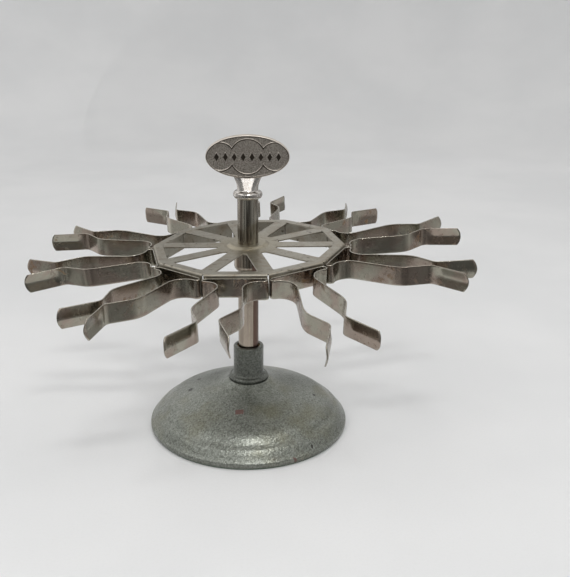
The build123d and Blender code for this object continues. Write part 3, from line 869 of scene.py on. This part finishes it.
def felt():
    g = Graph("felt_surface")
    place = g.place()
    fuzz = g.noise(place, 2600, detail=4, rough=0.75, warp=1.5)
    dust = g.noise(place, 90, detail=3)
    wool = g.mix(g.ramp(fuzz, 0.3, 0.7), (0.045, 0.085, 0.05), (0.12, 0.17, 0.115))
    g.surface(Base_Color=g.mix(g.ramp(dust, 0.5, 0.75, 0.0, 0.4), wool, (0.26, 0.25, 0.22)))
    g.surface(Roughness=0.95, Sheen_Weight=0.4, Sheen_Roughness=0.5, Normal=g.bump(fuzz, 0.25))
    return g.material


def paper():
    """Pale seamless paper of the studio floor."""
    g = Graph("paper_floor")
    place = g.place()
    fibres = g.noise(place, 700, detail=4, rough=0.6)
    broad = g.noise(place, 5, detail=3, rough=0.55)
    tone = g.mix(g.ramp(broad, 0.3, 0.7), (0.70, 0.705, 0.71), (0.75, 0.752, 0.755))
    g.surface(Base_Color=g.mix(g.ramp(fibres, 0.45, 0.75, 0.0, 0.12), tone, (0.60, 0.60, 0.59)))
    g.surface(Roughness=0.85, Normal=g.bump(fibres, 0.05))
    return g.material


def dress_cad_nodes():
    """Gives the CAD nodes that are shown as they are their materials."""
    made = {
        "plain_steel": plain_steel(),
        "bronze": bronze(),
        "fibre": fibre(),
        "felt": felt(),
    }
    own = {
        "base_casting": hammertone_paint("hammertone_paint_base", 1.0),
        # Painted shade: the collar has the base's paint, darkened.
        "socket_collar": hammertone_paint("hammertone_paint_collar_painted_shade", 0.62),
        "post": post_nickel(),
        "hub_boss": boss_nickel(),
        "upper_sleeve": sleeve_nickel(),
    }
    slots = {part["node"]: part["material_slot"] for part in frame["record"]["subparts"]}
    for name, node in frame["nodes"].items():
        material = own.get(name) or made.get(slots[name])
        if material:
            node.data.materials[0] = material


# ---- studio ----

PAPER_RADIUS = 0.25              # paper that the metal mirrors; further out it mirrors the room
FLOOR_RADIUS = 0.95
SWEEP_RADIUS = 0.75              # the curve from floor to backdrop
SWEEP_HEIGHT = 1.6


def turned_sheet(name, profile, spokes=160):
    """Sheet turned about Z from (radius, height) pairs in metres."""
    points, faces = [], []
    for radius, height in profile:
        for spoke in range(spokes):
            angle = 2 * math.pi * spoke / spokes
            points.append((radius * math.cos(angle) / MM, radius * math.sin(angle) / MM, height / MM))
    for ring in range(len(profile) - 1):
        for spoke in range(spokes):
            after = (spoke + 1) % spokes
            start = ring * spokes
            faces.append((start + spoke, start + after, start + spokes + after, start + spokes + spoke))
    if profile[0][0] < 0.01:
        faces.append(list(range(spokes)))
    return mesh_object(name, points, faces)


def studio_floor():
    material = paper()
    near = turned_sheet("studio_floor", [(0.005, 0), (PAPER_RADIUS / 2, 0), (PAPER_RADIUS, 0)])
    sweep = [(PAPER_RADIUS, 0), (0.6, 0)]
    for step in range(19):
        angle = math.radians(5 * step)
        sweep.append((FLOOR_RADIUS + SWEEP_RADIUS * math.sin(angle), SWEEP_RADIUS * (1 - math.cos(angle))))
    sweep.append((FLOOR_RADIUS + SWEEP_RADIUS, SWEEP_HEIGHT))
    backdrop = turned_sheet("studio_backdrop", sweep)
    backdrop.visible_glossy = False
    backdrop.visible_shadow = False
    for piece in (near, backdrop):
        piece.data.materials.append(material)


def soft_light(name, place, target, size, power, colour=(1, 1, 1)):
    lamp = bpy.data.lights.new(name, "AREA")
    lamp.shape = "RECTANGLE"
    lamp.size, lamp.size_y = size
    lamp.energy = power
    lamp.color = colour
    holder = bpy.data.objects.new(name, lamp)
    holder.location = place
    holder.rotation_euler = (Vector(target) - Vector(place)).to_track_quat("-Z", "Y").to_euler()
    bpy.context.scene.collection.objects.link(holder)


def room():
    """Soft surroundings: bright overhead and behind, darker in front, with upright bands all round."""
    world = bpy.data.worlds.new("room")
    bpy.context.scene.world = world
    world.use_nodes = True
    nodes, links = world.node_tree.nodes, world.node_tree.links
    background = nodes["Background"]
    direction = nodes.new("ShaderNodeTexCoord").outputs["Generated"]
    parts = nodes.new("ShaderNodeSeparateXYZ")
    links.new(direction, parts.inputs[0])

    def ramp(value, low, high, to_low, to_high):
        node = nodes.new("ShaderNodeMapRange")
        node.interpolation_type = "SMOOTHSTEP"
        links.new(value, node.inputs["Value"])
        limits = {"From Min": low, "From Max": high, "To Min": to_low, "To Max": to_high}
        for socket, number in limits.items():
            node.inputs[socket].default_value = number
        return node.outputs[0]

    def join(operation, first, second):
        node = nodes.new("ShaderNodeMath")
        node.operation = operation
        links.new(first, node.inputs[0])
        links.new(second, node.inputs[1])
        return node.outputs[0]

    overhead = ramp(parts.outputs["Z"], 0.15, 0.9, 0.0, 0.36)
    behind = ramp(parts.outputs["Y"], -0.9, 0.35, 0.13, 0.5)
    leftward = ramp(parts.outputs["X"], -0.9, 0.1, 0.12, 0.0)
    strength = join("ADD", join("ADD", overhead, behind), leftward)
    upright = nodes.new("ShaderNodeMapping")
    upright.inputs["Scale"].default_value = (1, 1, 0.08)
    links.new(direction, upright.inputs["Vector"])
    stripes = nodes.new("ShaderNodeTexNoise")
    stripes.inputs["Scale"].default_value = 3.2
    stripes.inputs["Detail"].default_value = 2.0
    links.new(upright.outputs[0], stripes.inputs["Vector"])
    strength = join("MULTIPLY", strength, ramp(stripes.outputs[0], 0.38, 0.62, 0.45, 1.7))
    links.new(strength, background.inputs["Strength"])
    background.inputs["Color"].default_value = (1.0, 0.995, 0.985, 1)


def light_scene():
    room()
    soft_light("side_window", (-1.1, -0.7, 1.25), (0, 0, 0.08), (0.7, 0.7), 2.2, (1.0, 0.998, 0.995))
    soft_light("front_window", (-0.05, -1.45, 1.09), (0, 0, 0.15), (2.3, 0.34), 4.4, (1.0, 0.998, 0.992))
    soft_light("ceiling_light", (0.12, -0.75, 1.25), (0, 0, 0.03), (0.34, 0.13), 5.2, (1.0, 0.998, 0.99))


def set_camera():
    yaw, pitch, roll = (math.radians(a) for a in (CAMERA_YAW, CAMERA_PITCH, CAMERA_ROLL))
    forward = Vector((math.sin(yaw) * math.cos(pitch), math.cos(yaw) * math.cos(pitch), -math.sin(pitch)))
    right = forward.cross(Vector((0, 0, 1))).normalized()
    up = right.cross(forward)
    tilted_right = right * math.cos(roll) + up * math.sin(roll)
    tilted_up = up * math.cos(roll) - right * math.sin(roll)
    camera = bpy.data.cameras.new("camera")
    camera.sensor_fit = "HORIZONTAL"
    camera.sensor_width = SENSOR
    camera.lens = SENSOR * FOCAL_SHARE
    holder = bpy.data.objects.new("camera", camera)
    axes = Matrix((tilted_right, tilted_up, -forward)).transposed()
    holder.matrix_world = Matrix.Translation(CAMERA_PLACE) @ axes.to_4x4()
    bpy.context.scene.collection.objects.link(holder)
    bpy.context.scene.camera = holder


def main():
    bpy.context.scene.view_settings.view_transform = "Standard"
    set_camera()
    dress_cad_nodes()
    strip_material = spring_strip()
    for index in range(SIDES):
        spring_clip(index, strip_material)
    spider_plate(plate_nickel())
    grip(antique_nickel())
    studio_floor()
    light_scene()


main()
